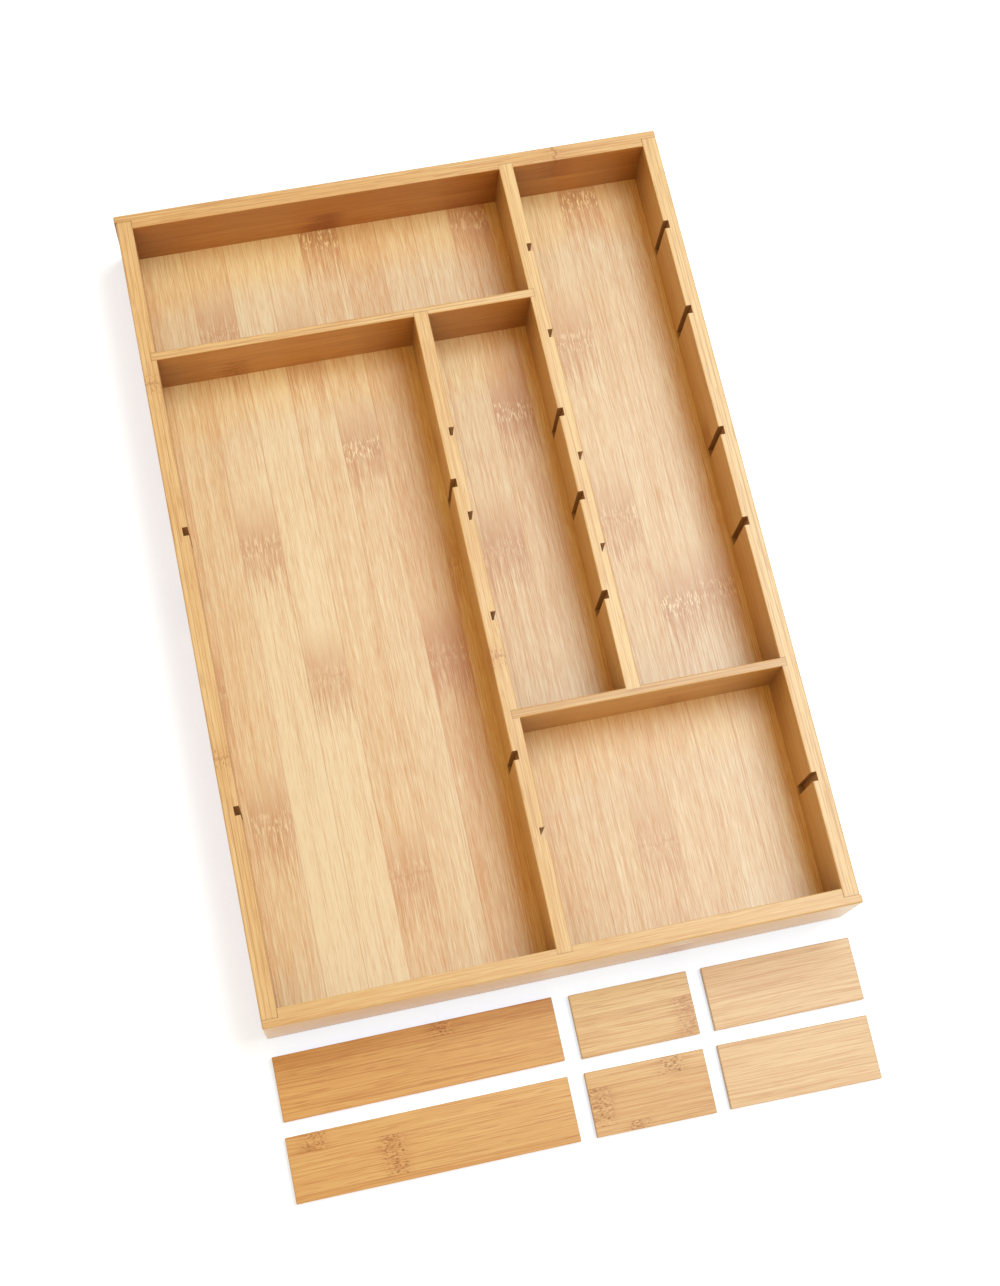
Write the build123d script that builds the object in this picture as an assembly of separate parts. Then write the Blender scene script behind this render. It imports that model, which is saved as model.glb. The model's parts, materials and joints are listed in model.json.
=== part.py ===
from build123d import *
import os

# Drawer organizer insert: an open wooden tray on a grooved floor panel, split into five compartments by
# four fixed partitions, with six loose dividers that drop into facing pairs of slots. The loose dividers
# lie flat on the surface in front of the tray, in two rows of three.
#
# Millimetres, +Z up, X across the tray, Y towards its back wall. Everything is drawn about the middle of
# the tray and then shifted, so that the origin lies under the middle of the tray and dividers together.

# Tray
WIDTH = 303.0
LENGTH = 444.5
HEIGHT = 46.0
SIDE_WALL = 8.5
END_WALL = 9.0
CORNER_LAP = 4.2      # what an end wall keeps of its thickness where it laps a side wall
PROUD_END = 0.8       # how far one end of each end wall stands past the side wall
HOUSING = 3.0         # how deep a partition's end is let into a wall or a long partition

# Floor panel, held in grooves
FLOOR_BOTTOM = 5.0
FLOOR_TOP = 10.5
FLOOR_GROOVE = 4.0

# Fixed partitions
LONG_PARTITION = 8.0
CROSS_PARTITION = 4.8
CENTRE_X = 0.0
RIGHT_X = 64.5
UPPER_CROSS_Y = 136.4
LOWER_CROSS_Y = -92.9
HALF_LAP = 2.4        # how deep the centre partition is let into the upper cross partition
THIRD_LAP = 1.6       # how deep the right partition is let into the lower cross partition
DEEP_HOUSING = 4.0    # how deep the lower cross partition is let into the centre partition

# Loose dividers and the slots that hold them
DIVIDER_HEIGHT = 32.4
DIVIDER_THICKNESS = 4.0
SLOT_WIDTH = 4.8
SLOT_DEPTH = 3.0
TOP_CLEARANCE = 0.2   # a divider in its slots stops this far below the rim
END_CLEARANCE = 0.5   # play at each end of a long or medium divider, between it and its slot's bottom
SHORT_CLEARANCE = 0.25  # the same for a short divider

RIGHT_COLUMN_SLOTS = (163.5, 111.0, 38.5, -14.0)
MIDDLE_COLUMN_SLOTS = (65.0, 16.5, -39.5)
LEFT_BAY_SLOTS = (36.0, -114.0)
LOWER_BAY_SLOTS = (-155.0,)

# Rounding of the sawn edges
OUTER_ARRIS = 1.0
INNER_ARRIS = 0.6
DIVIDER_ARRIS = 0.4

CUT_PAST = 1.0        # how far a cut starts outside the face it is made in


def about(middle, width):
    """The two limits of something centred on a value."""
    return middle - width / 2, middle + width / 2


def cut_from(face, towards, depth):
    """The two limits of a cut of some depth into a face, with towards as +1 or -1 along the axis."""
    return sorted((face - towards * CUT_PAST, face + towards * depth))


# Faces that the dimensions above lead to
OUTER_X = WIDTH / 2
OUTER_Y = LENGTH / 2
INNER_X = OUTER_X - SIDE_WALL
INNER_Y = OUTER_Y - END_WALL
LAP_Y = OUTER_Y - CORNER_LAP
SLOT_BOTTOM = HEIGHT - DIVIDER_HEIGHT - TOP_CLEARANCE
STANDING = (FLOOR_TOP, HEIGHT)
CENTRE = about(CENTRE_X, LONG_PARTITION)
RIGHT = about(RIGHT_X, LONG_PARTITION)
UPPER_CROSS = about(UPPER_CROSS_Y, CROSS_PARTITION)
LOWER_CROSS = about(LOWER_CROSS_Y, CROSS_PARTITION)
ABOVE_RIM = HEIGHT + CUT_PAST

# Loose dividers: length from slot bottom to slot bottom, less the play
LONG_DIVIDER = CENTRE[0] + INNER_X + 2 * (SLOT_DEPTH - END_CLEARANCE)
MEDIUM_DIVIDER = INNER_X - RIGHT[1] + 2 * (SLOT_DEPTH - END_CLEARANCE)
SHORT_DIVIDER = RIGHT[0] - CENTRE[1] + 2 * (SLOT_DEPTH - SHORT_CLEARANCE)

# Where each one lies: its length, its middle in X and Y, and its turn in degrees
LAID_OUT = {
    "long_divider_1": (LONG_DIVIDER, -78.8, -248.0, 0.1),
    "long_divider_2": (LONG_DIVIDER, -79.6, -288.1, -0.1),
    "short_divider_1": (SHORT_DIVIDER, 32.8, -249.1, -0.2),
    "short_divider_2": (SHORT_DIVIDER, 31.8, -288.7, -0.7),
    "medium_divider_1": (MEDIUM_DIVIDER, 111.4, -249.6, -0.3),
    "medium_divider_2": (MEDIUM_DIVIDER, 110.0, -289.6, -0.9),
}


def board(x, y, z):
    """A square-edged board between two limits along each axis."""
    size = [high - low for low, high in (x, y, z)]
    middle = [(high + low) / 2 for low, high in (x, y, z)]
    return Pos(*middle) * Box(*size)


def top_edges(solid, axis):
    """The top edges of a board that run along an axis, in order along the other horizontal axis."""
    across = Axis.Y if axis == Axis.X else Axis.X
    return solid.edges().filter_by(axis).group_by(Axis.Z)[-1].sort_by(across)


def housing(x, y):
    """The space that a partition's end takes in the board it is let into, open at the top."""
    return board(x, y, (FLOOR_TOP, ABOVE_RIM))


def slots(face_x, towards, places):
    """Slots for loose dividers, cut into an upright face, with towards as +1 or -1 along X."""
    x = cut_from(face_x, towards, SLOT_DEPTH)
    return [board(x, about(y, SLOT_WIDTH), (SLOT_BOTTOM, ABOVE_RIM)) for y in places]


def floor_panel():
    """The laminated floor, whose edges sit in the grooves of all four walls."""
    x = INNER_X + FLOOR_GROOVE
    y = INNER_Y + FLOOR_GROOVE
    return board((-x, x), (-y, y), (FLOOR_BOTTOM, FLOOR_TOP))


def end_wall(side, proud_side, partition_x):
    """A front (side -1) or back (side +1) wall, rabbeted at both ends and grooved for the floor."""
    inner, outer = (0, -1)[::side]
    x = (-OUTER_X - PROUD_END * (proud_side < 0), OUTER_X + PROUD_END * (proud_side > 0))
    wall = board(x, sorted((side * INNER_Y, side * OUTER_Y)), (0, HEIGHT))
    upright_corners = wall.edges().filter_by(Axis.Z).group_by(Axis.Y)[outer]
    rim = top_edges(wall, Axis.Y) + [top_edges(wall, Axis.X)[outer]]
    wall = fillet(upright_corners + rim, OUTER_ARRIS)
    rabbet = cut_from(side * INNER_Y, side, END_WALL - CORNER_LAP)
    for end in (-1, 1):
        past_the_side_wall = sorted((end * INNER_X, end * (OUTER_X + PROUD_END + CUT_PAST)))
        wall -= board(past_the_side_wall, rabbet, (-CUT_PAST, ABOVE_RIM))
    wall = fillet(top_edges(wall, Axis.X)[inner], INNER_ARRIS)
    groove = cut_from(side * INNER_Y, side, FLOOR_GROOVE)
    wall -= board((-INNER_X - CUT_PAST, INNER_X + CUT_PAST), groove, (FLOOR_BOTTOM, FLOOR_TOP))
    return wall - housing(partition_x, cut_from(side * INNER_Y, side, HOUSING))


def side_wall(side, cross_y, slot_places):
    """A left (side -1) or right (side +1) wall, which runs between the rabbets of the end walls."""
    inner, outer = (0, -1)[::side]
    wall = board(sorted((side * INNER_X, side * OUTER_X)), (-LAP_Y, LAP_Y), (0, HEIGHT))
    wall = fillet(top_edges(wall, Axis.Y)[inner], INNER_ARRIS)
    wall = fillet(top_edges(wall, Axis.Y)[outer], OUTER_ARRIS)
    groove = cut_from(side * INNER_X, side, FLOOR_GROOVE)
    wall -= board(groove, (-LAP_Y - CUT_PAST, LAP_Y + CUT_PAST), (FLOOR_BOTTOM, FLOOR_TOP))
    wall -= housing(cut_from(side * INNER_X, side, HOUSING), cross_y)
    return wall - slots(side * INNER_X, side, slot_places)


def long_partition(x, y, ends):
    """A partition along Y: its exposed top edges eased, and its ends let into its neighbours square."""
    exposed = board(x, y, STANDING)
    exposed = fillet(top_edges(exposed, Axis.Y), INNER_ARRIS)
    housed = [board(x, (y[0] - ends[0], y[0]), STANDING), board(x, (y[1], y[1] + ends[1]), STANDING)]
    return exposed + housed


def cross_partition(x, y, ends):
    """The same along X."""
    exposed = board(x, y, STANDING)
    exposed = fillet(top_edges(exposed, Axis.X), INNER_ARRIS)
    housed = [board((x[0] - ends[0], x[0]), y, STANDING), board((x[1], x[1] + ends[1]), y, STANDING)]
    return exposed + housed


def centre_partition():
    """Runs from the front wall to the upper cross partition, slotted on both faces."""
    solid = long_partition(CENTRE, (-INNER_Y, UPPER_CROSS[0]), (HOUSING, HALF_LAP))
    solid -= housing(cut_from(CENTRE[1], -1, DEEP_HOUSING), LOWER_CROSS)
    solid -= slots(CENTRE[0], 1, LEFT_BAY_SLOTS)
    return solid - slots(CENTRE[1], -1, MIDDLE_COLUMN_SLOTS + LOWER_BAY_SLOTS)


def right_partition():
    """Runs from the lower cross partition to the back wall, slotted on both faces."""
    solid = long_partition(RIGHT, (LOWER_CROSS[1], INNER_Y), (THIRD_LAP, HOUSING))
    solid -= housing(cut_from(RIGHT[0], 1, HOUSING), UPPER_CROSS)
    solid -= slots(RIGHT[0], 1, MIDDLE_COLUMN_SLOTS)
    return solid - slots(RIGHT[1], -1, RIGHT_COLUMN_SLOTS)


def upper_cross_partition():
    """Runs from the left wall to the right partition, and takes the centre partition's end."""
    solid = cross_partition((-INNER_X, RIGHT[0]), UPPER_CROSS, (HOUSING, HOUSING))
    return solid - housing(CENTRE, cut_from(UPPER_CROSS[0], 1, HALF_LAP))


def lower_cross_partition():
    """Runs from the centre partition to the right wall, and takes the right partition's end."""
    solid = cross_partition((CENTRE[1], INNER_X), LOWER_CROSS, (DEEP_HOUSING, HOUSING))
    return solid - housing(RIGHT, cut_from(LOWER_CROSS[1], -1, THIRD_LAP))


def loose_divider(length, x, y, turn):
    """A thin board with all its edges eased, lying flat."""
    flat = board(about(0, length), about(0, DIVIDER_HEIGHT), (0, DIVIDER_THICKNESS))
    return Pos(x, y, 0) * Rot(0, 0, turn) * fillet(flat.edges(), DIVIDER_ARRIS)


pieces = {
    "floor_panel": floor_panel(),
    "back_wall": end_wall(1, -1, RIGHT),
    "front_wall": end_wall(-1, 1, CENTRE),
    "left_wall": side_wall(-1, UPPER_CROSS, LEFT_BAY_SLOTS),
    "right_wall": side_wall(1, LOWER_CROSS, RIGHT_COLUMN_SLOTS + LOWER_BAY_SLOTS),
    "centre_partition": centre_partition(),
    "right_partition": right_partition(),
    "upper_cross_partition": upper_cross_partition(),
    "lower_cross_partition": lower_cross_partition(),
}
for name, place in LAID_OUT.items():
    pieces[name] = loose_divider(*place)

footprint = Compound(list(pieces.values())).bounding_box().center()
to_origin = Pos(-footprint.X, -footprint.Y, 0)

os.makedirs("parts", exist_ok=True)
for name, piece in pieces.items():
    export_step(to_origin * piece, f"parts/{name}.step")
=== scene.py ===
import json
import math

import bpy
import numpy as np
from mathutils import Matrix, Vector

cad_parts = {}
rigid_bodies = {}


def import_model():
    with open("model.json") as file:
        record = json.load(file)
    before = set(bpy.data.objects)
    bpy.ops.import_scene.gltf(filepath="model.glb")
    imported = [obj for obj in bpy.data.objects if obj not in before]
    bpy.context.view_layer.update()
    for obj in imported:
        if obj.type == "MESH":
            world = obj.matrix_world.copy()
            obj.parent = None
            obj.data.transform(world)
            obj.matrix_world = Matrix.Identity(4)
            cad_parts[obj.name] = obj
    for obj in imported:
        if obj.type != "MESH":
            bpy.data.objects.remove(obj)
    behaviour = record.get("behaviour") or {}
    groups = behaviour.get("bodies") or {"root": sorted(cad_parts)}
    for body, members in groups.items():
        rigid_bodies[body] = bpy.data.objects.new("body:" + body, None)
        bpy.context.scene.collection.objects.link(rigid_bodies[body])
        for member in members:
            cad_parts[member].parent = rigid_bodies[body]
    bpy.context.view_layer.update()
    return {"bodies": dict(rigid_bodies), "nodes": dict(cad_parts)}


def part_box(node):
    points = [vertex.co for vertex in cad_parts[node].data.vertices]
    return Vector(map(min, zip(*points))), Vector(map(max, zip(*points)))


# The looks of a bamboo drawer organizer: a slotted tray with fixed partitions, and six loose dividers in
# front of it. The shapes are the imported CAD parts, and every board gets its own bamboo.

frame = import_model()
nodes = frame["nodes"]

MM_PER_M = 1000.0

low_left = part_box("left_wall")[0]
high_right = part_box("right_wall")[1]
tray_middle = Vector(((low_left.x + high_right.x) / 2, (low_left.y + high_right.y) / 2, 0.0))


# ---------------------------------------------------------------- boards

# Linear colours: what a board's palest and deepest strips are, and the flush around its nodes. The tops of
# the boards are paler than their faces: partly the strips' own paler edges, partly painted light from above.
FLOOR_WOOD = {"pale": (0.87, 0.735, 0.54), "deep": (0.67, 0.355, 0.16), "flush": (0.57, 0.27, 0.135)}
WALL_WOOD = {"pale": (0.71, 0.46, 0.22), "deep": (0.58, 0.31, 0.12), "flush": (0.42, 0.155, 0.05)}
BACK_WOOD = {"pale": (0.67, 0.345, 0.11), "deep": (0.54, 0.225, 0.055), "flush": (0.36, 0.11, 0.03)}
# The front wall's wood is partly its own paler tone and partly painted light thrown on its outer face from
# the table.
LIT_FRONT_WOOD = {"pale": (0.86, 0.69, 0.46), "deep": (0.76, 0.54, 0.31), "flush": (0.58, 0.27, 0.11)}
FRONT_RIM_WOOD = {"pale": (0.81, 0.58, 0.32), "deep": (0.70, 0.43, 0.20), "flush": (0.54, 0.24, 0.09)}
PARTITION_WOOD = {"pale": (0.74, 0.51, 0.26), "deep": (0.62, 0.35, 0.145), "flush": (0.46, 0.18, 0.06)}
CROSS_WOOD = {"pale": (0.74, 0.48, 0.235), "deep": (0.62, 0.33, 0.13), "flush": (0.46, 0.18, 0.06)}
LIT_RIM_WOOD = {"pale": (0.84, 0.62, 0.35), "deep": (0.72, 0.44, 0.20), "flush": (0.58, 0.27, 0.10)}
CARAMEL_WOOD = {"pale": (0.76, 0.45, 0.17), "deep": (0.62, 0.30, 0.095), "flush": (0.46, 0.165, 0.04)}
GOLDEN_WOOD = {"pale": (0.79, 0.50, 0.22), "deep": (0.65, 0.34, 0.12), "flush": (0.48, 0.185, 0.05)}
HONEY_WOOD = {"pale": (0.83, 0.62, 0.36), "deep": (0.66, 0.39, 0.175), "flush": (0.52, 0.23, 0.08)}
TAN_WOOD = {"pale": (0.78, 0.53, 0.28), "deep": (0.65, 0.37, 0.16), "flush": (0.49, 0.21, 0.07)}
PALE_WOOD = {"pale": (0.81, 0.60, 0.38), "deep": (0.68, 0.42, 0.23), "flush": (0.56, 0.28, 0.12)}

# A board's strips lie side by side across it from "start", each "pitch" mm wide. A strip's row is its tone
# where the grain starts and where it ends, from 0 for pale to 1 for deep, and then up to two nodes. A node
# is its place, how strong its flecks are and how strong its flush is. Places are mm from the tray's middle,
# on the surface it stands on, or from a loose divider's own middle.
FLOOR_STRIPS = {
    "start": -161.25,
    "pitch": 21.5,
    "rows": [
        (0.55, 0.50, (-43, 0.4, 0.9)),
        (0.36, 0.34, (-117, 0.5, 0.9)),
        (0.0, 0.34, (160, 0.4, 0.9), (33, 0.6, 0.95)),
        (0.08, 0.18, (-45, 0.3, 1.0)),
        (0.50, 0.22, (-157, 0.3, 0.75), (142, 0.4, 0.9)),
        (0.38, 0.40, (208, 1.0, 1.2), (78, 0.8, 1.0)),
        (0.63, 0.54, (-45, 0.3, 1.4)),
        (0.52, 0.38, (3, 0.4, 0.9)),
        (0.49, 0.36, (8, 0.3, 1.2)),
        (0.40, 0.66, (205, 0.6, 1.2), (85, 0.7, 1.25)),
        (0.54, 0.40, (-167, 0.3, 0.7)),
        (0.42, 0.36, (120, 0.5, 0.9), (13, 0.4, 0.8)),
        (0.32, 0.42, (205, 1.0, 1.1), (-42, 0.9, 1.05)),
        (0.40, 0.48, (-37, 0.5, 0.9)),
        (0.50, 0.50),
    ],
}


def wall_strips(*rows):
    """Two strips one above the other, as the walls and partitions have."""
    return {"start": 0.0, "pitch": 28.0, "rows": rows}


def divider_strips(start, pitch, *rows):
    """Three strips side by side, each of one tone, as the loose dividers have."""
    return {"start": start, "pitch": pitch, "rows": [(row[0], *row) for row in rows]}


# For each kind of board: how many layers it is laminated from, how far the flush reaches either side of its
# nodes in mm and how strong it is, how strong a node's dark line and its pale and dark flecks are, how long
# its flecks and finest fibres are in mm, how strongly its fibres and dark veins show, and how bright its end
# grain is.
KINDS = {
    "floor": {
        "layers": 1, "reach": 32.0, "flush": 0.50,
        "node_line": 0.24, "pale_flecks": 0.90, "dark_flecks": 0.35,
        "fleck": 4.0, "hair": 11.0, "streaks": 1.0, "veins": 0.26, "ends": 0.9,
    },
    "wall": {
        "layers": 3, "reach": 15.0, "flush": 0.60,
        "node_line": 0.50, "pale_flecks": 0.30, "dark_flecks": 0.70,
        "fleck": 2.0, "hair": 26.0, "streaks": 1.3, "veins": 0.36, "ends": 0.82,
    },
    "partition": {
        "layers": 2, "reach": 13.0, "flush": 0.45,
        "node_line": 0.50, "pale_flecks": 0.30, "dark_flecks": 0.70,
        "fleck": 2.0, "hair": 26.0, "streaks": 1.3, "veins": 0.36, "ends": 0.85,
    },
    "divider": {
        "layers": 1, "reach": 11.0, "flush": 0.35,
        "node_line": 0.30, "pale_flecks": 0.50, "dark_flecks": 1.0,
        # Their end grain is darker, partly as painted shade on their shaded ends.
        "fleck": 1.7, "hair": 45.0, "streaks": 1.3, "veins": 0.50, "ends": 0.55,
    },
}

# "axes" are the frame's axes that a board's grain, strips and layers follow. "rim" is the wood of its top.
BOARDS = {
    "floor_panel": {
        "kind": "floor", "wood": FLOOR_WOOD, "axes": "YXZ",
        "strips": FLOOR_STRIPS,
    },
    "back_wall": {
        "kind": "wall", "wood": BACK_WOOD, "rim": LIT_RIM_WOOD, "axes": "XZY",
        "strips": wall_strips((0.6, 0.3, (-38, 0.6, 1.5)), (0.8, 0.7, (93, 0.3, 0.85))),
    },
    "front_wall": {
        "kind": "wall", "wood": LIT_FRONT_WOOD, "rim": FRONT_RIM_WOOD, "axes": "XZY",
        "strips": wall_strips((0.4, 0.4, (60, 0.6, 0.95)), (0.35, 0.35, (-180, 0.4, 0.9))),
    },
    "left_wall": {
        "kind": "wall", "wood": WALL_WOOD, "rim": LIT_RIM_WOOD, "axes": "YZX",
        "strips": wall_strips((0.5, 0.5, (10, 0.6, 0.95)), (0.4, 0.4, (121, 0.6, 0.95), (-86, 0.6, 0.95))),
    },
    "right_wall": {
        "kind": "wall", "wood": WALL_WOOD, "rim": LIT_RIM_WOOD, "axes": "YZX",
        "strips": wall_strips((0.5, 0.5, (46, 0.7, 1.0)), (0.3, 0.3)),
    },
    "centre_partition": {
        "kind": "partition", "wood": PARTITION_WOOD, "rim": LIT_RIM_WOOD, "axes": "YZX",
        "strips": wall_strips((0.3, 0.3, (68, 0.7, 1.0)), (0.35, 0.45, (-62, 0.6, 0.95))),
    },
    "right_partition": {
        "kind": "partition", "wood": PARTITION_WOOD, "rim": LIT_RIM_WOOD, "axes": "YZX",
        "strips": wall_strips((0.25, 0.25, (172, 0.7, 1.0)), (0.15, 0.3)),
    },
    "upper_cross_partition": {
        "kind": "partition", "wood": BACK_WOOD, "rim": LIT_RIM_WOOD, "axes": "XZY",
        "strips": wall_strips((0.4, 0.5, (-103, 0.7, 1.0)), (0.65, 0.4)),
    },
    "lower_cross_partition": {
        "kind": "partition", "wood": CROSS_WOOD, "rim": PARTITION_WOOD, "axes": "XZY",
        "strips": wall_strips((0.6, 0.6, (88, 0.7, 1.0)), (0.6, 0.6)),
    },
    "long_divider_1": {
        "kind": "divider", "wood": CARAMEL_WOOD, "axes": "XYZ",
        "strips": divider_strips(-34.0, 21.5, (0.2,), (0.4,), (0.68, (13, 0.9, 1.05))),
    },
    "long_divider_2": {
        "kind": "divider", "wood": GOLDEN_WOOD, "axes": "XYZ",
        "strips": divider_strips(-33.0, 20.0, (0.75,), (0.35, (-20, 0.8, 1.05)), (0.3, (-58, 0.8, 1.05))),
    },
    "short_divider_1": {
        "kind": "divider", "wood": HONEY_WOOD, "axes": "XYZ",
        "strips": divider_strips(-35.0, 19.5, (0.45, (-27, 0.7, 1.0)), (0.5, (27, 0.5, 1.4)), (0.0,)),
    },
    "short_divider_2": {
        "kind": "divider", "wood": TAN_WOOD, "axes": "XYZ",
        "strips": divider_strips(-31.0, 19.3, (0.5, (-9, 0.9, 1.05)), (0.55, (-26, 0.8, 1.05)),
                                 (0.4, (13, 0.9, 1.05))),
    },
    "medium_divider_1": {
        "kind": "divider", "wood": PALE_WOOD, "axes": "XYZ",
        "strips": divider_strips(-23.0, 22.0, (0.35,), (0.5,), (0.2,)),
    },
    "medium_divider_2": {
        "kind": "divider", "wood": PALE_WOOD, "axes": "XYZ",
        "strips": divider_strips(-29.0, 21.5, (0.3,), (0.3,), (0.35,)),
    },
}


def scaled(colour, share):
    """A colour made darker or brighter."""
    return tuple(min(1.0, part * share) for part in colour)


def is_loose(name):
    """Loose dividers are bodies of their own."""
    return name in frame["bodies"]


def is_upright(name):
    """Whether a board stands on its edge, as the walls and fixed partitions do."""
    return not is_loose(name) and name != "floor_panel"


def turn_of(name):
    """How far a loose divider lies turned about Z, from the way its long side runs."""
    points = np.array([v.co[:2] for v in nodes[name].data.vertices])
    spread = np.cov((points - points.mean(0)).T)
    long_side = np.linalg.eigh(spread)[1][:, -1]
    rightwards = math.copysign(1.0, long_side[0])
    return math.atan2(rightwards * long_side[1], rightwards * long_side[0])


def board_axes(board):
    """The frame's axes that a board's grain, strips and layers follow, as numbers."""
    return ["XYZ".index(axis) for axis in board["axes"]]


# ---------------------------------------------------------------- material graphs

class Graph:
    """Short calls that build a material's nodes. An input is a number, a tuple or another node's output."""

    def __init__(self, name):
        self.material = bpy.data.materials.new(name)
        self.material.use_nodes = True
        self.tree = self.material.node_tree
        self.shader = self.tree.nodes["Principled BSDF"]

    def put(self, value, socket):
        if isinstance(value, bpy.types.NodeSocket):
            self.tree.links.new(value, socket)
        else:
            socket.default_value = value

    def node(self, kind, inputs=None, **settings):
        made = self.tree.nodes.new("ShaderNode" + kind)
        for key, value in settings.items():
            setattr(made, key, value)
        for key, value in (inputs or {}).items():
            self.put(value, made.inputs[key])
        return made

    def math(self, operation, *values):
        made = self.node("Math", operation=operation)
        for value, socket in zip(values, made.inputs):
            self.put(value, socket)
        return made.outputs[0]

    def plus(self, first, second):
        return self.math("ADD", first, second)

    def minus(self, first, second):
        return self.math("SUBTRACT", first, second)

    def times(self, first, second):
        return self.math("MULTIPLY", first, second)

    def over(self, first, second):
        return self.math("DIVIDE", first, second)

    def smaller(self, first, second):
        return self.math("MINIMUM", first, second)

    def larger(self, first, second):
        return self.math("MAXIMUM", first, second)

    def size_of(self, value):
        return self.math("ABSOLUTE", value)

    def clamped(self, value):
        return self.node("Clamp", {"Value": value}).outputs[0]

    def fade(self, value, start, end):
        """0 at start and 1 at end, eased, whichever of the two is larger."""
        ends = {"Value": value, "From Min": min(start, end), "From Max": max(start, end),
                "To Min": float(start > end), "To Max": float(start < end)}
        return self.node("MapRange", ends, interpolation_type="SMOOTHSTEP").outputs[0]

    def swing(self, value, amount):
        """A 0 to 1 value as minus to plus half the amount."""
        return self.times(self.minus(value, 0.5), amount)

    def mix(self, share, first, second, blend="MIX"):
        made = self.node("Mix", data_type="RGBA", blend_type=blend)
        for value, index in ((share, 0), (first, 6), (second, 7)):
            value = (*value, 1.0) if isinstance(value, tuple) else value
            self.put(value, made.inputs[index])
        return made.outputs[2]

    def vector(self, *values):
        made = self.node("CombineXYZ")
        for value, socket in zip(values, made.inputs):
            self.put(value, socket)
        return made.outputs[0]

    def moved(self, vector, step):
        made = self.node("VectorMath", operation="ADD")
        self.put(vector, made.inputs[0])
        self.put(tuple(step), made.inputs[1])
        return made.outputs[0]

    def parts(self, vector):
        return self.node("SeparateXYZ", {"Vector": vector}).outputs

    def coordinates(self, kind):
        """The place or the direction of the surface, in the frame's axes: "Object" or "Normal"."""
        return self.node("TexCoord").outputs[kind]

    def noise(self, place, detail=2.0, roughness=0.5):
        """Noise whose features are about one unit of place in size, from 0 to 1."""
        inputs = {"Vector": place, "Scale": 1.0, "Detail": detail, "Roughness": roughness}
        return self.node("TexNoise", inputs).outputs["Fac"]


# ---------------------------------------------------------------- places on a board

def board_origin(name):
    """What a board's places are measured from, and how far it lies turned about Z."""
    if is_loose(name):
        low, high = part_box(name)
        return (low + high) / 2, turn_of(name)
    return tray_middle, 0.0


def board_space(g, name, board):
    """Where a point is in its board, in mm: along the grain, across the strips and through the thickness."""
    origin, turn = board_origin(name)
    moved = g.moved(g.coordinates("Object"), -origin)
    turned = g.node("VectorRotate", {"Vector": moved, "Angle": -turn}, rotation_type="Z_AXIS")
    in_mm = g.node("VectorMath", {"Scale": MM_PER_M}, operation="SCALE")
    g.put(turned.outputs[0], in_mm.inputs[0])
    parts = g.parts(in_mm.outputs[0])
    return [parts[axis] for axis in board_axes(board)]


def board_limits(name, board):
    """The same three axes' limits, in mm, of the board's own box."""
    origin, turn = board_origin(name)
    points = np.array([v.co for v in nodes[name].data.vertices]) - np.array(origin)
    c, s = math.cos(-turn), math.sin(-turn)
    points = points @ np.array([[c, -s, 0], [s, c, 0], [0, 0, 1]]).T * MM_PER_M
    return [(float(points[:, axis].min()), float(points[:, axis].max())) for axis in board_axes(board)]


def distance_in(g, value, limits):
    """How far inside two limits a value is."""
    middle, half = sum(limits) / 2, (limits[1] - limits[0]) / 2
    return g.minus(half, g.size_of(g.minus(value, middle)))


def nearest_line(g, place, pitch):
    """How far a point is from the nearest whole number of its place, in mm with a pitch."""
    share = g.math("FRACT", place)
    return g.times(g.smaller(share, g.minus(1.0, share)), pitch)


# ---------------------------------------------------------------- strips and layers

NO_NODE = (5000.0, 0.0, 0.0)   # stands far off the board, for a strip that has fewer than two nodes
MARK_REACH = 300.0             # mm that the table's 0 to 1 covers, each way from a board's origin
TONE_ENDS = (-200.0, 200.0)    # mm along the board between which a strip's tone changes
FACE_MARGIN = 0.01             # mm that keeps a board's faces off its layers' limits, against speckles
LAYER_SWING = 0.5              # how much the layers of a laminated board differ in tone
LAYER_LINE = 0.7               # how clear the glue between layers is, next to that between strips
GLUE_WIDTH = (0.45, 0.15)      # mm from a glue line where it starts to show and where it is whole


def look_up(g, number, count, values):
    """Four values for each of a board's strips, looked up by the strip's number."""
    ramp = g.node("ValToRGB")
    ramp.color_ramp.interpolation = "CONSTANT"
    elements = ramp.color_ramp.elements
    elements.remove(elements[1])
    for i, four in enumerate(values):
        element = elements[0] if i == 0 else elements.new(i / count)
        element.color = four
    g.put(g.over(g.plus(number, 0.5), count), ramp.inputs[0])
    three = g.node("SeparateColor", {"Color": ramp.outputs["Color"]}).outputs[:3]
    return [*three, ramp.outputs["Alpha"]]


def strip_rows(g, number, rows, along):
    """A strip's tone at a place along it, and its two nodes: the place, flecks and flush of each."""
    pairs = [[*row[2:], NO_NODE, NO_NODE][:2] for row in rows]
    tones = [(row[0], row[1], first[1], second[1]) for row, (first, second) in zip(rows, pairs)]
    first_tone, last_tone, *flecks = look_up(g, number, len(rows), tones)
    codes = [[(mark[0] + MARK_REACH) / (2 * MARK_REACH) for mark in pair] + [mark[2] for mark in pair]
             for pair in pairs]
    *codes, first_flush, second_flush = look_up(g, number, len(rows), codes)
    places = [g.math("MULTIPLY_ADD", code, 2 * MARK_REACH, -MARK_REACH) for code in codes]
    change = g.times(g.minus(last_tone, first_tone), g.fade(along, *TONE_ENDS))
    return g.plus(first_tone, change), list(zip(places, flecks, (first_flush, second_flush)))


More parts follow.
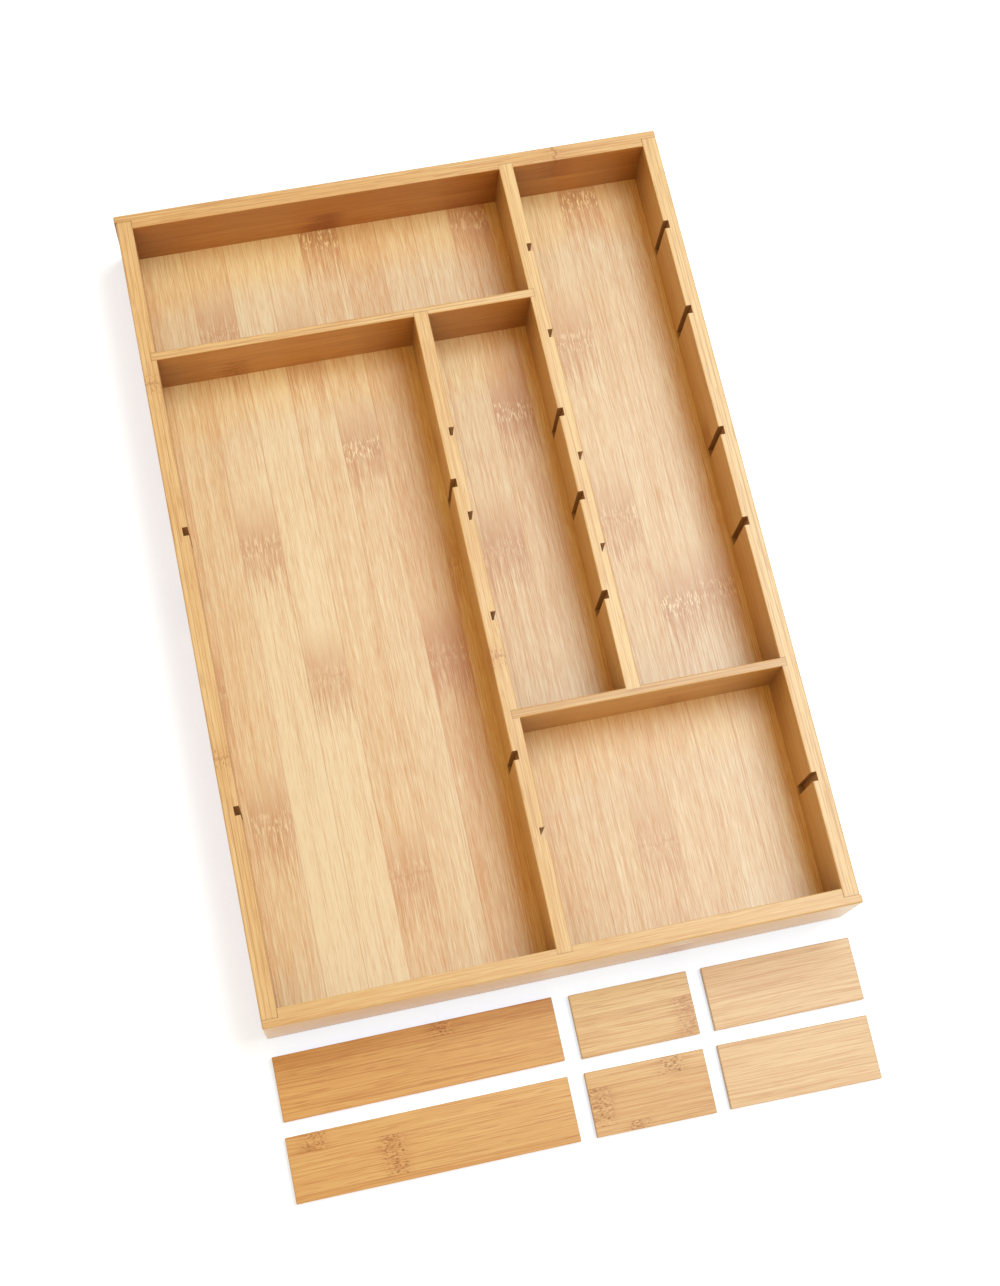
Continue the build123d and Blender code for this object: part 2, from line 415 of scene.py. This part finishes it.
def laminations(g, board, space, limits, seed):
    """A point's strip and layer, how its layer's tone differs, and how near the point is to a glue line."""
    strips, count = board["strips"], KINDS[board["kind"]]["layers"]
    strip = g.over(g.minus(space[1], strips["start"]), strips["pitch"])
    pitch = (limits[2][1] - limits[2][0]) / count
    layer = g.over(g.minus(space[2], limits[2][0] - FACE_MARGIN), pitch)
    glue = g.fade(nearest_line(g, strip, strips["pitch"]), *GLUE_WIDTH)
    number, layer_number = g.math("FLOOR", strip), g.math("FLOOR", layer)
    if count == 1:
        return number, layer_number, 0.0, glue
    between = g.fade(distance_in(g, space[2], limits[2]), pitch * 0.4, pitch * 0.6)
    line = g.times(g.fade(nearest_line(g, layer, pitch), *GLUE_WIDTH), g.times(between, LAYER_LINE))
    drawn = g.node("TexWhiteNoise", {"Vector": g.vector(layer_number, float(seed), 0.5)}).outputs["Value"]
    return number, layer_number, g.swing(drawn, LAYER_SWING), g.larger(glue, line)


# ---------------------------------------------------------------- grain and nodes

def grain(g, space, piece, seed, kind):
    """Bamboo's fibres at several widths, each 0 to 1 and drawn out along the grain."""
    along, across, depth = space
    shifted = g.plus(along, g.times(g.plus(piece, seed), 137.0))
    bend = g.noise(g.vector(g.over(shifted, 55.0), g.over(across, 30.0), float(seed)), 1.0)
    bent = g.plus(across, g.swing(bend, 2.2))

    def drawn(length, width, detail, roughness=0.55):
        """Noise about length by width mm in grain."""
        return g.noise(g.vector(g.over(shifted, length), g.over(bent, width), g.over(depth, width)),
                       detail, roughness)

    return {
        "flow": drawn(110.0, 6.0, 2.5),
        "fibre": drawn(60.0, 1.0, 2.5, 0.65),
        "hair": drawn(kind["hair"], 0.55, 2.0, 0.65),
        "vein": drawn(85.0, 0.65, 0.5),
        "dash": drawn(18.0, 0.55, 1.0),
        "fleck": drawn(kind["fleck"], 0.85, 1.0),
    }


def node_marks(g, along, marks, fibres, reach):
    """How flushed the wood near a strip's nodes is, their bands of flecks and their dark lines."""
    wander = g.plus(g.swing(fibres["hair"], 1.2 * reach), g.swing(fibres["fibre"], 1.6 * reach))
    flush, band, line = 0.0, 0.0, 0.0
    for place, flecks, flushing in marks:
        away = g.minus(along, place)
        blurred = g.size_of(g.plus(away, wander))
        flush = g.larger(flush, g.times(g.fade(blurred, reach, 0.13 * reach), flushing))
        bent = g.plus(away, g.swing(fibres["flow"], 7.0))
        band = g.larger(band, g.times(g.fade(g.size_of(bent), 7.5, 4.0), flecks))
        frayed = g.size_of(g.plus(bent, g.swing(fibres["hair"], 3.0)))
        line = g.larger(line, g.times(g.fade(frayed, 1.1, 0.4), g.minus(1.3, flecks)))
    return flush, band, line


def with_fibres(g, tone, fibres, streaks):
    """A strip's tone with its fibres, from 0 for pale to 1 for deep."""
    for fibre, amount in (("flow", 0.7), ("fibre", 1.2), ("hair", 1.7)):
        tone = g.plus(tone, g.swing(fibres[fibre], amount * streaks))
    return g.clamped(tone)


def face_colour(g, shade, flush, fibres, wood, kind):
    """The wood of a board's faces, from pale to deep, flushed unevenly near its nodes."""
    uneven = g.plus(g.swing(fibres["fibre"], 0.9), g.swing(fibres["hair"], 0.9))
    flushed = g.clamped(g.times(flush, g.plus(uneven, kind["flush"])))
    return g.mix(flushed, g.mix(shade, wood["pale"], wood["deep"]), wood["flush"])


def rim_colour(g, shade, flush, rim):
    """The wood of a board's top, where the nodes' flush is faint; its paler wood is partly painted light from
    above.
    """
    return g.mix(g.times(flush, 0.22), g.mix(shade, rim["pale"], rim["deep"]), rim["flush"])


def add_veins(g, colour, line, fibres, wood, kind):
    """The nodes' dark lines, and the dark veins and dashes along the grain."""
    colour = g.mix(g.times(line, kind["node_line"]), colour, wood["flush"])
    dashes = g.times(g.fade(fibres["dash"], 0.58, 0.68), kind["veins"])
    veins = g.times(g.fade(fibres["vein"], 0.61, 0.68), kind["veins"])
    return g.mix(g.larger(dashes, veins), colour, wood["flush"])


def add_flecks(g, colour, band, fibres, wood, kind):
    """The pale and dark flecks in a node's band."""
    pale = g.times(g.times(band, g.fade(fibres["fleck"], 0.55, 0.63)), kind["pale_flecks"])
    dark = g.times(g.times(band, g.fade(fibres["fleck"], 0.43, 0.37)), kind["dark_flecks"])
    colour = g.mix(pale, colour, scaled(wood["pale"], 1.12))
    return g.mix(dark, colour, scaled(wood["flush"], 0.7))


# ---------------------------------------------------------------- edges, ends and corners

ARRIS_WIDTH = (1.4, 0.2)    # mm from a board's long edge where the darker band starts to show and where it is whole
SEAM_WIDTH = (0.45, 0.15)   # the same for the joint line at a board's end
SIDE_SEAM_WIDTH = (0.4, 0.12)    # and for the line beside a housed end
SIDE_SEAM_LENGTH = (3.2, 2.6)    # mm from its end that the line beside a housed end runs
FACING = (0.55, 0.75)       # how squarely a face looks along an axis when it starts to count and counts fully
CORNER_REACH = 0.04         # m from a neighbouring board that light is held back or thrown
# The colour that painted shade in the corners multiplies a face by.
PAINTED_CORNER_SHADE = (0.36, 0.27, 0.34)
WARM_TINT = (1.08, 0.98, 0.70)


def edges_of(g, space, limits):
    """How near a point is to the board's long edges and to its joint lines, and whether it is in a cut."""
    inside = [distance_in(g, value, pair) for value, pair in zip(space, limits)]
    nearest = g.smaller(inside[1], inside[2])
    second = g.smaller(g.larger(inside[1], inside[2]), g.larger(nearest, inside[0]))
    arris = g.fade(second, *ARRIS_WIDTH)
    end_line = g.fade(inside[0], *SEAM_WIDTH)
    side_line = g.times(g.fade(inside[2], *SIDE_SEAM_WIDTH), g.fade(inside[0], *SIDE_SEAM_LENGTH))
    cut = g.fade(g.smaller(nearest, inside[0]), 0.1, 0.5)
    return arris, g.larger(end_line, side_line), cut


def top_share(g):
    """How much a face looks up."""
    return g.fade(g.parts(g.coordinates("Normal"))["Z"], *FACING)


def end_grain(g, space, board):
    """How much a face shows end grain, and the dark ends of the fibre bundles on it."""
    normal = g.parts(g.coordinates("Normal"))[board_axes(board)[0]]
    share = g.fade(g.size_of(normal), *FACING)
    place = g.vector(g.over(space[1], 0.8), g.over(space[2], 0.6), 0.0)
    cells = g.node("TexVoronoi", {"Vector": place, "Scale": 1.0}, feature="F1")
    return share, g.fade(cells.outputs["Distance"], 0.42, 0.2)


def add_end_grain(g, colour, share, bundles, wood, bright):
    """The end grain, darker than the board's pale strips; on the loose dividers the extra darkness is painted
    shade.
    """
    ends = g.mix(g.times(bundles, 0.6), scaled(wood["pale"], bright), scaled(wood["deep"], 0.9 * bright))
    return g.mix(g.times(share, 0.85), colour, ends)


def openness(g, lean):
    """How far from neighbouring boards a point is, seen along its normal leant over."""
    normal = g.moved(g.coordinates("Normal"), lean)
    occlusion = g.node("AmbientOcclusion", {"Distance": CORNER_REACH, "Normal": normal}, samples=4)
    return occlusion.outputs["AO"]


def warm_floor(g, colour):
    """Warm light on the floor from the wood of the board behind it."""
    return g.mix(g.fade(openness(g, (0.0, 2.0, 0.0)), 0.60, 0.30), colour, WARM_TINT, "MULTIPLY")


def add_joints_and_painted_shade(g, colour, seam, cut, wood):
    """The joint lines on a board's top, painted shade in its cuts, and painted shade in the corners of its
    faces.
    """
    dark = scaled(wood["flush"], 0.5)
    colour = g.mix(g.times(g.times(seam, top_share(g)), 0.55), colour, dark)
    # Painted shade in the cuts: the insides of slots and housings are darkened.
    colour = g.mix(g.times(cut, 0.5), colour, dark)
    # Painted shade in the corners: faces darken where neighbouring boards close them in, less so inside the
    # cuts.
    corner = g.fade(openness(g, (0.0, 0.0, 1.6)), 0.71, 0.32)
    return g.mix(g.times(corner, g.math("MULTIPLY_ADD", cut, -0.5, 0.78)), colour, PAINTED_CORNER_SHADE, "MULTIPLY")


# ---------------------------------------------------------------- the boards' materials

def relief(g, fibres, band, glue, end_pores):
    """The fine relief of the fibres and flecks, sunk along the glue lines and at the end grain's pores."""
    height = g.plus(g.times(fibres["fibre"], 0.5), g.times(fibres["hair"], 0.4))
    height = g.plus(height, g.times(g.times(band, fibres["fleck"]), 0.6))
    height = g.minus(height, g.times(glue, 0.5))
    height = g.minus(height, g.times(end_pores, 0.8))
    return g.node("Bump", {"Strength": 0.6, "Distance": 0.00012, "Height": height}).outputs[0]


def bamboo(name, board):
    """One board's lacquered bamboo: strips glued side by side, fibres, nodes, joint lines and end grain."""
    g = Graph(name + "_bamboo")
    space, limits = board_space(g, name, board), board_limits(name, board)
    wood, kind = board["wood"], KINDS[board["kind"]]
    seed = list(BOARDS).index(name) + 1

    number, layer, layer_tone, glue = laminations(g, board, space, limits, seed)
    tone, marks = strip_rows(g, number, board["strips"]["rows"], space[0])
    fibres = grain(g, space, g.plus(number, g.times(layer, 17.0)), seed, kind)
    flush, band, line = node_marks(g, space[0], marks, fibres, kind["reach"])
    shade = with_fibres(g, g.plus(tone, layer_tone), fibres, kind["streaks"])

    colour = face_colour(g, shade, flush, fibres, wood, kind)
    if is_upright(name):
        # The tops take the rim wood, partly painted light from above.
        colour = g.mix(top_share(g), colour, rim_colour(g, shade, flush, board["rim"]))
    colour = add_veins(g, colour, line, fibres, wood, kind)
    colour = add_flecks(g, colour, band, fibres, wood, kind)
    arris, seam, cut = edges_of(g, space, limits)
    colour = g.mix(g.times(glue, 0.38), colour, wood["flush"])
    colour = g.mix(g.times(arris, 0.22), colour, wood["deep"])
    end_share, bundles = end_grain(g, space, board)
    colour = add_end_grain(g, colour, end_share, bundles, wood, kind["ends"])
    if name == "floor_panel":
        colour = warm_floor(g, colour)
    if is_upright(name):
        colour = add_joints_and_painted_shade(g, colour, seam, cut, wood)

    rough = g.plus(0.44, g.swing(fibres["fibre"], 0.24))
    g.put(colour, g.shader.inputs["Base Color"])
    g.put(g.plus(rough, g.times(end_share, 0.22)), g.shader.inputs["Roughness"])
    g.put(relief(g, fibres, band, glue, g.times(bundles, end_share)), g.shader.inputs["Normal"])
    g.put(1.5, g.shader.inputs["IOR"])
    g.put(0.4, g.shader.inputs["Coat Weight"])
    g.put(0.32, g.shader.inputs["Coat Roughness"])
    return g.material


for node_name, board in BOARDS.items():
    nodes[node_name].material_slots[0].material = bamboo(node_name, board)


# ---------------------------------------------------------------- camera

# From the tray's middle, in metres: where the camera is, and the point of the surface that it looks at. The
# top of the picture is the tray's back, turned a little towards its right side.
CAMERA_PLACE = Vector((-0.120, -0.3256, 1.0069))
CAMERA_AIM = Vector((0.0083, -0.0416, 0.0))
PICTURE_TURN = math.radians(12.34)
LENS = 54.84


def add_camera():
    """The camera, looking down on the tray from in front and a little to the left."""
    place = tray_middle + CAMERA_PLACE
    ahead = (tray_middle + CAMERA_AIM - place).normalized()
    right = ahead.cross(Vector((math.sin(PICTURE_TURN), math.cos(PICTURE_TURN), 0.0))).normalized()
    axes = Matrix((right, right.cross(ahead), -ahead)).transposed()
    camera = bpy.data.objects.new("camera", bpy.data.cameras.new("camera"))
    camera.data.lens = LENS
    camera.matrix_world = Matrix.Translation(place) @ axes.to_4x4()
    bpy.context.scene.collection.objects.link(camera)
    bpy.context.scene.camera = camera


# ---------------------------------------------------------------- light and table

KEY_PLACE = Vector((0.74, 0.26, 1.8))    # m from the tray's middle
KEY_SIZE = (1.4, 0.9)                    # m across its slant, and along it
KEY_WATTS = 26.3
KEY_COLOUR = (0.645, 0.87, 1.0)
ROOM_COLOUR = (1.0, 0.68, 0.255, 1.0)
ROOM_STRENGTH = 0.72
BACKDROP = (1.0, 1.0, 1.0, 1.0)
TABLE_SIZE = 4.0
TABLE_COLOUR = (0.9, 0.9, 0.905, 1.0)
GLOW_COLOUR = (0.48, 0.71, 1.0, 1.0)
GLOW_STRENGTH = 0.67


def add_key_light():
    """A cool softbox above the back right, aimed at the tray."""
    light = bpy.data.lights.new("key", "AREA")
    light.shape = "RECTANGLE"
    light.size, light.size_y = KEY_SIZE
    light.energy = KEY_WATTS
    light.color = KEY_COLOUR
    key = bpy.data.objects.new("key", light)
    key.location = tray_middle + KEY_PLACE
    key.rotation_euler = (-KEY_PLACE).to_track_quat("-Z", "Y").to_euler()
    bpy.context.scene.collection.objects.link(key)


def add_room():
    """A dimmer warm room all round, with a white backdrop for the camera."""
    world = bpy.data.worlds.new("room")
    world.use_nodes = True
    bpy.context.scene.world = world
    tree = world.node_tree
    dim = tree.nodes["Background"]
    dim.inputs["Color"].default_value = ROOM_COLOUR
    dim.inputs["Strength"].default_value = ROOM_STRENGTH
    seen = tree.nodes.new("ShaderNodeBackground")
    seen.inputs["Color"].default_value = BACKDROP
    seen.inputs["Strength"].default_value = 1.0
    mixed = tree.nodes.new("ShaderNodeMixShader")
    path = tree.nodes.new("ShaderNodeLightPath")
    tree.links.new(path.outputs["Is Camera Ray"], mixed.inputs[0])
    tree.links.new(dim.outputs[0], mixed.inputs[1])
    tree.links.new(seen.outputs[0], mixed.inputs[2])
    tree.links.new(mixed.outputs[0], tree.nodes["World Output"].inputs["Surface"])


def add_table():
    """A plain white table that glows a little, like a lit one, so that shadows on it stay faint."""
    bpy.ops.mesh.primitive_plane_add(size=TABLE_SIZE, location=tray_middle)
    table = bpy.context.object
    table.name = "table"
    g = Graph("white_table")
    g.put(TABLE_COLOUR, g.shader.inputs["Base Color"])
    g.put(1.0, g.shader.inputs["Roughness"])
    g.put(0.0, g.shader.inputs["Specular IOR Level"])
    g.put(GLOW_COLOUR, g.shader.inputs["Emission Color"])
    g.put(GLOW_STRENGTH, g.shader.inputs["Emission Strength"])
    table.data.materials.append(g.material)


add_camera()
add_key_light()
add_room()
add_table()
bpy.context.scene.view_settings.view_transform = "Standard"
